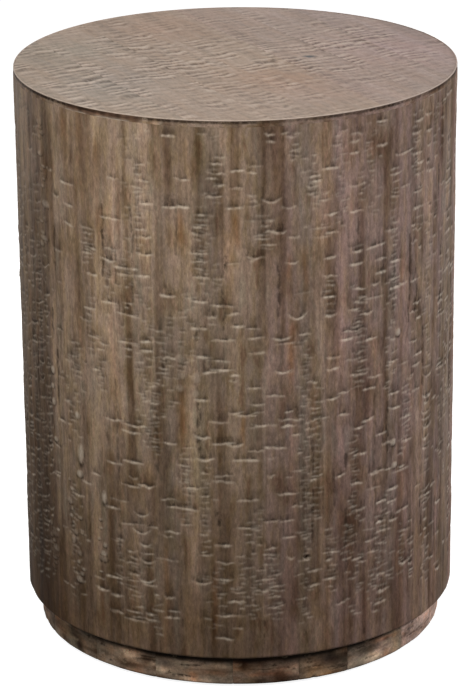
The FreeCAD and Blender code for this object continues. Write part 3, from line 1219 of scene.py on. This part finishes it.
def sawn_board(node, number, materials, across_way):
    """One board of the top, whose edge takes the second material."""
    rng = np.random.default_rng(300 + number)
    grain_way = np.array((across_way[1], -across_way[0]))
    cad = node_points(node)
    bottom, top = cad[:, 2].min(), cad[:, 2].max()
    rows = board_rows(cad, across_way)
    face = sawn_face(rng, rows, BOARD_TONES[number], across_way, grain_way)
    rim = rim_section(cad_high.x, bottom, top)
    loops = board_loops(face, rim, top, across_way, grain_way)
    height = loops.level + loops.inside * loops.carved(face.relief)
    points = np.concatenate((loops.flat, height[..., None]), -1)
    paint = board_paint(face, loops, rim, top, grain_shift(rng))
    sides, first_cap, last_cap = loop_faces(*points.shape[:2])
    on_side = (loops.edge * np.roll(loops.edge, -1)).astype(int)
    second = np.r_[np.tile(on_side, len(rows) - 1), 0, 0]
    faces = sides + [first_cap, last_cap]
    make_piece(node, f"sawn_board_{number + 1}", materials, points, faces, paint, second)


# Plinth blocks

def block_face(rng, ring, number):
    """A block's outer face: dented, spotted and scored, with painted shadow at its head and painted shade
    at its foot.
    """
    sides = (-ring.half * ring.radius, ring.half * ring.radius)
    levels = (ring.bottom, ring.top)
    face = blank_face(steps(*sides, ACROSS_STEP), steps(*levels, ALONG_STEP), BLOCK_TONES[number])
    face.relief += BLOCK_SWELL_RISE * waves(rng, face, *BLOCK_SWELL_LENGTHS)
    for _ in range(rng.integers(*DENTS)):
        across = rng.uniform(*sides)
        along = rng.uniform(*levels)
        cut_dimple(face, across, along, rng.uniform(*DENT_RADIUS), rng.uniform(*DENT_DEPTH))
    for _ in range(CLEAN_SPOTS if number in CLEAN_BLOCKS else rng.integers(*SPOTS)):
        x = (face.across - rng.uniform(*sides)) / rng.uniform(*SPOT_WIDTH)
        y = (face.along - rng.uniform(*levels)) / rng.uniform(*SPOT_HEIGHT)
        tint(face, ..., np.exp(-np.hypot(x, y[:, None]) ** 2), pick(rng, SPOT_TINTS))
    for _ in range(rng.integers(*SCORES)):
        start = rng.uniform(*sides)
        end = start + rng.uniform(*SCORE_LENGTH)
        level = rng.uniform(*levels)
        half = rng.uniform(*SCORE_HALF)
        cut_groove(turned(face), rng, level, start, end, half, rng.uniform(*SCORE_DEPTH))
    ease_edges(face, rng, BLOCK_JOINT_EASE, BLOCK_JOINT_SHADE)
    # Painted shadow at the head, under the drum, and painted shade along the foot
    head = clamp((face.along - ring.top + BLOCK_HEAD_SHADOW_REACH) / BLOCK_HEAD_SHADOW_FADE)
    foot = clamp(1 - (face.along - ring.bottom) / BLOCK_FOOT_SHADE_REACH)
    face.tone *= ((1 - BLOCK_HEAD_SHADOW * head) * (1 - BLOCK_FOOT_SHADE * foot))[:, None, None]
    ease_foot(face, BLOCK_EASE)
    return face


def fixing_rings(node, ring):
    """Centre of the hole in a plinth block's foot, and its rings of radius and level from the foot up."""
    points = node_points(node)
    outward = np.array((math.sin(ring.middle), -math.cos(ring.middle)))
    out = points[:, :2] @ outward
    side = points[:, :2] @ np.array((-outward[1], outward[0]))
    room = (ring.radius - ring.flat) / 3
    inside = (np.abs(side) < room / 2) & (out > ring.flat + room / 2) & (out < ring.radius - room / 2)
    centre = outward * (out[inside].min() + out[inside].max()) / 2
    radii = np.round(np.hypot(*(points[inside, :2] - centre).T), 5)
    levels = np.round(points[inside, 2], 5)
    found = {(z, -r) for z, r in zip(levels, radii) if z < ring.top - BORE_HEAD_ROOM and r > BORE_LEAST}
    return centre, [(-r, z) for z, r in sorted(found)]


def bore_loops(node, ring):
    """Loops of points round the hole in a plinth block's foot, from the foot up."""
    centre, rings = fixing_rings(node, ring)
    turn = np.linspace(0, 2 * math.pi, BORE_SIDES, endpoint=False)
    circle = np.stack((np.cos(turn), np.sin(turn)), -1)
    return np.array([np.column_stack((centre + r * circle, np.full(BORE_SIDES, z))) for r, z in rings])


def rough_block(node, number, material):
    """One block of the plinth ring, bored in its foot for the screw or nail that holds it."""
    rng = np.random.default_rng(500 + number)
    ring = ring_piece(node)
    face = block_face(rng, ring, number)
    outer, paint = wrap(ring, face, [2, 1, 0], grain_shift(rng))
    paint["grain"] *= BLOCK_STRETCH
    sides, foot_rim, head_cap = loop_faces(*outer.shape[:2])
    bore = bore_loops(node, ring)
    count = outer.shape[0] * outer.shape[1]
    lining, bore_rim, bore_end = loop_faces(*bore.shape[:2], first=count)
    bore = bore.reshape(-1, 3)
    points = np.concatenate((outer.reshape(-1, 3), bore))
    triangles = tessellate_polygon([[Vector(points[i]) for i in rim] for rim in (foot_rim, bore_rim)])
    foot = [[(foot_rim + bore_rim)[i] for i in triangle] for triangle in triangles]
    inner = {
        "grain": bore[:, ::-1],
        "tone": np.tile(face.tone[0, 0], (len(bore), 1)),
        "recess": np.full(len(bore), BORE_SHADE),
        "lip": np.zeros(len(bore)),
    }
    for key, values in paint.items():
        paint[key] = np.concatenate((values.reshape((count,) + values.shape[2:]), inner[key]))[None]
    faces = sides + [head_cap] + foot + [quad[::-1] for quad in lining] + [bore_end[::-1]]
    make_piece(node, f"rough_block_{number + 1:02d}", [material], points, faces, paint)


# Materials

def feed(tree, made, inputs):
    """Links or sets the inputs of a shader node."""
    for key, value in inputs.items():
        if isinstance(value, bpy.types.NodeSocket):
            tree.links.new(value, made.inputs[key])
        else:
            made.inputs[key].default_value = value


def add(tree, kind, inputs, **settings):
    """Adds a shader node with its settings and inputs."""
    made = tree.nodes.new("ShaderNode" + kind)
    for key, value in settings.items():
        setattr(made, key, value)
    feed(tree, made, inputs)
    return made


def painted(tree, name, output="Fac"):
    """A value painted on the points."""
    return add(tree, "Attribute", {}, attribute_name=name).outputs[output]


def object_place(tree):
    """Place on a piece."""
    return add(tree, "TexCoord", {}).outputs["Object"]


def combine(tree, operation, first, second):
    """One value made of two."""
    return add(tree, "Math", {0: first, 1: second}, operation=operation).outputs[0]


def noise(tree, vector, scale, detail=3.0, roughness=0.55, distortion=0.0):
    """Noise with its own scale in each direction."""
    stretched = add(tree, "VectorMath", {0: vector, 1: scale}, operation="MULTIPLY").outputs[0]
    inputs = {"Vector": stretched, "Scale": 1.0, "Detail": detail, "Roughness": roughness}
    return add(tree, "TexNoise", {**inputs, "Distortion": distortion}).outputs[0]


def span(tree, value, start, end, low, high):
    """Stretches a value from one range to another, within its ends."""
    inputs = {"Value": value, "From Min": start, "From Max": end, "To Min": low, "To Max": high}
    return add(tree, "MapRange", inputs).outputs[0]


def blend(tree, kind, factor, first, second):
    """Blends two colours."""
    made = add(tree, "Mix", {0: factor, 6: first, 7: second}, data_type="RGBA", blend_type=kind)
    return made.outputs[2]


def bump(tree, height, strength, distance):
    """Fine relief of a surface."""
    return add(tree, "Bump", {"Strength": strength, "Distance": distance, "Height": height}).outputs[0]


def rgba(colour):
    """Colour with full opacity."""
    return (*colour, 1.0)


def ramp(tree, value, stops):
    """Colours along a value."""
    made = add(tree, "ValToRGB", {0: value})
    elements = made.color_ramp.elements
    while len(elements) < len(stops):
        elements.new(0.5)
    for element, (place, colour) in zip(elements, stops):
        element.position = place
        element.color = rgba(colour)
    return made.outputs[0]


def surface(name):
    """Empty material with its tree and its shader."""
    material = bpy.data.materials.new(name)
    material.use_nodes = True
    tree = material.node_tree
    return material, tree, tree.nodes["Principled BSDF"]


def wood(name, strips, streaks, tints, fibre, line, dark, pale, roughness):
    """Stained old wood: layers of figure along the grain over the painted tones, then the painted shade in
    recesses and the painted highlights and wear on lips.
    """
    material, tree, shader = surface(name)
    grain = painted(tree, "grain", "Vector")
    fine = noise(tree, grain, (420, 420, 150), 4, 0.7)
    spots = noise(tree, grain, (300, 300, 130), 3, 0.6)
    pores = noise(tree, grain, (1100, 1100, 420), 2, 0.5)
    lines = noise(tree, grain, (210, 210, 14), 4, 0.6)
    # The recess paint is mostly painted shade, with darker joints; the lip paint is painted highlight, with
    # some wear
    hollow = combine(tree, "MULTIPLY", painted(tree, "recess"), span(tree, spots, 0.40, 0.56, 0.25, 1.0))
    wear_and_highlight = combine(tree, "MULTIPLY", painted(tree, "lip"), span(tree, fine, 0.38, 0.55, 0.45, 0.85))
    layers = (
        ("MULTIPLY", 1.0, ramp(tree, noise(tree, grain, (70, 70, 3), 2, 0.5), strips)),
        ("MULTIPLY", 0.6, ramp(tree, noise(tree, grain, (30, 30, 9), 2, 0.5), streaks)),
        ("MULTIPLY", 1.0, ramp(tree, noise(tree, grain, (95, 95, 24), 4, 0.6), streaks)),
        ("MULTIPLY", 1.0, span(tree, fine, 0.36, 0.64, 1 - fibre, 1 + fibre)),
        ("MULTIPLY", 1.0, span(tree, pores, 0.36, 0.64, 1 - fibre / 2, 1 + fibre / 2)),
        ("MIX", span(tree, lines, 0.34, 0.44, line, 0.0), rgba(dark)),
        ("MULTIPLY", 1.0, ramp(tree, noise(tree, grain, (100, 100, 24), 3, 0.6), tints)),
        ("MULTIPLY", 1.0, span(tree, spots, 0.38, 0.62, 1 + fibre / 2, 1 - fibre / 2)),
        ("MIX", hollow, rgba(0.5 * value for value in dark)),
        ("MIX", wear_and_highlight, rgba(pale)),
    )
    colour = painted(tree, "tone", "Vector")
    for kind, factor, layer in layers:
        colour = blend(tree, kind, factor, colour, layer)
    feed(tree, shader, {
        "Base Color": colour,
        "Roughness": span(tree, fine, 0.3, 0.7, roughness - 0.08, roughness + 0.1),
        "Specular IOR Level": 0.04,
        "Normal": bump(tree, fine, 0.5, 0.0004),
    })
    return material


def stave_wood():
    """Hewn grey-brown wood of the wall."""
    strips = (
        (0.35, (0.60, 0.54, 0.48)), (0.42, (0.84, 0.80, 0.75)), (0.48, (1.0, 0.98, 0.96)),
        (0.54, (1.08, 1.06, 1.04)), (0.59, (1.00, 0.96, 0.92)), (0.65, (1.24, 1.20, 1.17)),
    )
    streaks = (
        (0.34, (0.68, 0.63, 0.58)), (0.41, (0.89, 0.87, 0.84)), (0.46, (1.0, 0.99, 0.97)),
        (0.52, (1.05, 1.05, 1.05)), (0.66, (1.22, 1.20, 1.18)),
    )
    tints = (
        (0.36, (1.05, 0.97, 0.92)), (0.41, (1.02, 1.02, 0.92)), (0.46, (1.02, 1.01, 0.96)),
        (0.51, (1.0, 1.0, 1.01)), (0.56, (1.0, 0.98, 1.02)), (0.64, (0.94, 1.0, 1.03)),
    )
    dark, pale = srgb(62, 48, 39), srgb(206, 193, 176)
    return wood("stave_wood", strips, streaks, tints, 0.17, 0.22, dark, pale, 0.75)


def top_wood():
    """Paler sawn wood of the top."""
    streaks = (
        (0.36, (0.89, 0.89, 0.89)), (0.44, (1.0, 0.99, 0.98)),
        (0.56, (1.0, 1.0, 1.0)), (0.64, (1.07, 1.07, 1.08)),
    )
    tints = ((0.38, (1.02, 1.0, 0.98)), (0.50, (1.0, 1.0, 1.0)), (0.62, (0.98, 1.0, 1.01)))
    dark, pale = srgb(110, 94, 85), srgb(196, 179, 166)
    return wood("top_wood", streaks, streaks, tints, 0.09, 0.05, dark, pale, 0.72)


def plinth_wood():
    """Brown wood of the plinth."""
    streaks = ((0.34, (0.56, 0.53, 0.50)), (0.50, (1.0, 1.0, 1.0)), (0.66, (1.18, 1.12, 1.06)))
    tints = (
        (0.36, (1.07, 0.97, 0.88)), (0.44, (1.02, 1.0, 0.97)),
        (0.52, (1.0, 1.0, 1.0)), (0.64, (0.86, 0.92, 0.90)),
    )
    dark, pale = srgb(58, 42, 32), srgb(170, 148, 122)
    return wood("plinth_wood", streaks, streaks, tints, 0.18, 0.25, dark, pale, 0.72)


def plywood():
    """Unfinished birch ply."""
    material, tree, shader = surface("plywood")
    place = object_place(tree)
    fibres = noise(tree, place, (30, 700, 700), 3, 0.6)
    stops = ((0.3, srgb(170, 135, 96)), (0.5, srgb(192, 160, 120)), (0.7, srgb(206, 178, 138)))
    figure = ramp(tree, noise(tree, place, (9, 60, 60), 4, 0.6, 0.6), stops)
    feed(tree, shader, {
        "Base Color": blend(tree, "MULTIPLY", 1.0, figure, span(tree, fibres, 0.3, 0.7, 0.85, 1.08)),
        "Roughness": 0.7,
        "Normal": bump(tree, fibres, 0.3, 0.0003),
    })
    return material


def plated_steel(name, colour):
    """Plated steel, a little uneven."""
    material, tree, shader = surface(name)
    blotch = noise(tree, object_place(tree), (400, 400, 400), 3)
    stops = ((0.3, tuple(0.7 * value for value in colour)), (0.7, colour))
    feed(tree, shader, {
        "Base Color": ramp(tree, blotch, stops),
        "Roughness": span(tree, blotch, 0.3, 0.7, 0.3, 0.5),
        "Metallic": 1.0,
    })
    return material


def nylon():
    """Dark brown moulded nylon, scuffed."""
    material, tree, shader = surface("nylon")
    scuffs = noise(tree, object_place(tree), (900, 900, 900), 4, 0.6)
    feed(tree, shader, {
        "Base Color": ramp(tree, scuffs, ((0.35, srgb(58, 48, 42)), (0.7, srgb(82, 70, 62)))),
        "Roughness": span(tree, scuffs, 0.3, 0.7, 0.4, 0.6),
        "Normal": bump(tree, scuffs, 0.3, 0.0002),
    })
    return material


def dress(nodes, material):
    """Gives CAD nodes that stay a better material."""
    for node in nodes:
        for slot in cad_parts[node].material_slots:
            slot.material = material


# Studio

def pale_for_camera(tree, shade, pale):
    """Shows the pale background to camera, glossy and transmission rays, and the shade to all others."""
    path = add(tree, "LightPath", {}).outputs
    seen = path["Is Camera Ray"]
    for ray in ("Is Glossy Ray", "Is Transmission Ray"):
        seen = combine(tree, "MAXIMUM", seen, path[ray])
    return add(tree, "MixShader", {0: seen, 1: shade, 2: pale}).outputs[0]


def matte(tree, grey):
    """Dull grey."""
    return add(tree, "BsdfDiffuse", {"Color": rgba((grey, grey, grey))}).outputs[0]


def floor():
    """White floor that keeps a soft shadow, and sends little light back."""
    mesh = bpy.data.meshes.new("floor")
    half = FLOOR_HALF
    corners = [(-half, -half, 0), (half, -half, 0), (half, half, 0), (-half, half, 0)]
    mesh.from_pydata(corners, [], [(0, 1, 2, 3)])
    material, tree, _ = surface("floor_white")
    tree.nodes.clear()
    distance = add(tree, "VectorMath", {0: object_place(tree)}, operation="LENGTH").outputs["Value"]
    strength = span(tree, distance, *FLOOR_GLOW_REACH, *FLOOR_GLOW)
    glow = add(tree, "Emission", {"Color": rgba((1, 1, 1)), "Strength": strength}).outputs[0]
    white = add(tree, "AddShader", {0: glow, 1: matte(tree, FLOOR_SHADOW_GREY)}).outputs[0]
    add(tree, "OutputMaterial", {"Surface": pale_for_camera(tree, matte(tree, FLOOR_GREY), white)})
    mesh.materials.append(material)
    put("floor", mesh)


def studio_world():
    """White surroundings with a low ambient light."""
    world = bpy.data.worlds.new("studio")
    bpy.context.scene.world = world
    world.use_nodes = True
    tree = world.node_tree
    tree.nodes.clear()
    ambient, white = (
        add(tree, "Background", {"Color": rgba((1, 1, 1)), "Strength": strength}).outputs[0]
        for strength in (AMBIENT, 1.0)
    )
    add(tree, "OutputWorld", {"Surface": pale_for_camera(tree, ambient, white)})


def softbox(name, place, aim, size, power, colour):
    """Square area lamp that faces a point."""
    data = bpy.data.lights.new(name, "AREA")
    data.shape = "RECTANGLE"
    data.size = size
    data.size_y = size
    data.energy = power
    data.color = colour
    lamp = put(name, data)
    lamp.location = place
    lamp.rotation_euler = (Vector(aim) - Vector(place)).to_track_quat("-Z", "Y").to_euler()
    lamp.visible_camera = False


def camera():
    """The photograph's view."""
    data = bpy.data.cameras.new("camera")
    data.lens = CAMERA_LENS
    data.sensor_width = CAMERA_SENSOR
    right = Vector((math.cos(CAMERA_YAW), -math.sin(CAMERA_YAW), 0))
    ahead = Vector((
        math.sin(CAMERA_YAW) * math.cos(CAMERA_PITCH),
        math.cos(CAMERA_YAW) * math.cos(CAMERA_PITCH),
        -math.sin(CAMERA_PITCH),
    ))
    up = right.cross(ahead)
    x = math.cos(CAMERA_ROLL) * right + math.sin(CAMERA_ROLL) * up
    y = math.cos(CAMERA_ROLL) * up - math.sin(CAMERA_ROLL) * right
    turn = Matrix((x, y, -ahead)).transposed().to_quaternion()
    made = put("camera", data)
    made.matrix_world = Matrix.LocRotScale(Vector(CAMERA_PLACE), turn, None)
    bpy.context.scene.camera = made


# Build

wall = stave_wood()
stave_rings = [ring_piece(node) for node in nodes_named("stave_")]
stave_tones = STAVE_TONE_SHARE * np.array(STAVE_TONES) + (1 - STAVE_TONE_SHARE) * np.array(COMMON_TONE)
tones_there = np.repeat(stave_tones, 2, axis=0)
tone_angles = [
    stave.middle + side * (stave.half - TONE_FADE / stave.radius)
    for stave in stave_rings
    for side in (-1, 1)
]
whole_wall = hewn_wall(stave_rings)
for number, node in enumerate(nodes_named("stave_")):
    hewn_stave(node, number, wall, whole_wall)
boards = top_wood()
across_way = top_grain()
for number, node in enumerate(nodes_named("top_board_")):
    sawn_board(node, number, [boards, wall], across_way)
blocks = plinth_wood()
for number, node in enumerate(nodes_named("plinth_block_")):
    rough_block(node, number, blocks)
dress(("top_disc", "upper_hoop", "lower_hoop", "base_board"), plywood())
dress(("top_screws", "plinth_screws"), plated_steel("screw_steel", srgb(205, 185, 130)))
dress(("glide_nails",), plated_steel("nail_steel", srgb(190, 190, 192)))
dress(("glides",), nylon())

floor()
studio_world()
for lamp_name, lamp_values in LAMPS.items():
    softbox(lamp_name, *lamp_values)
camera()
bpy.context.scene.view_settings.view_transform = "Standard"
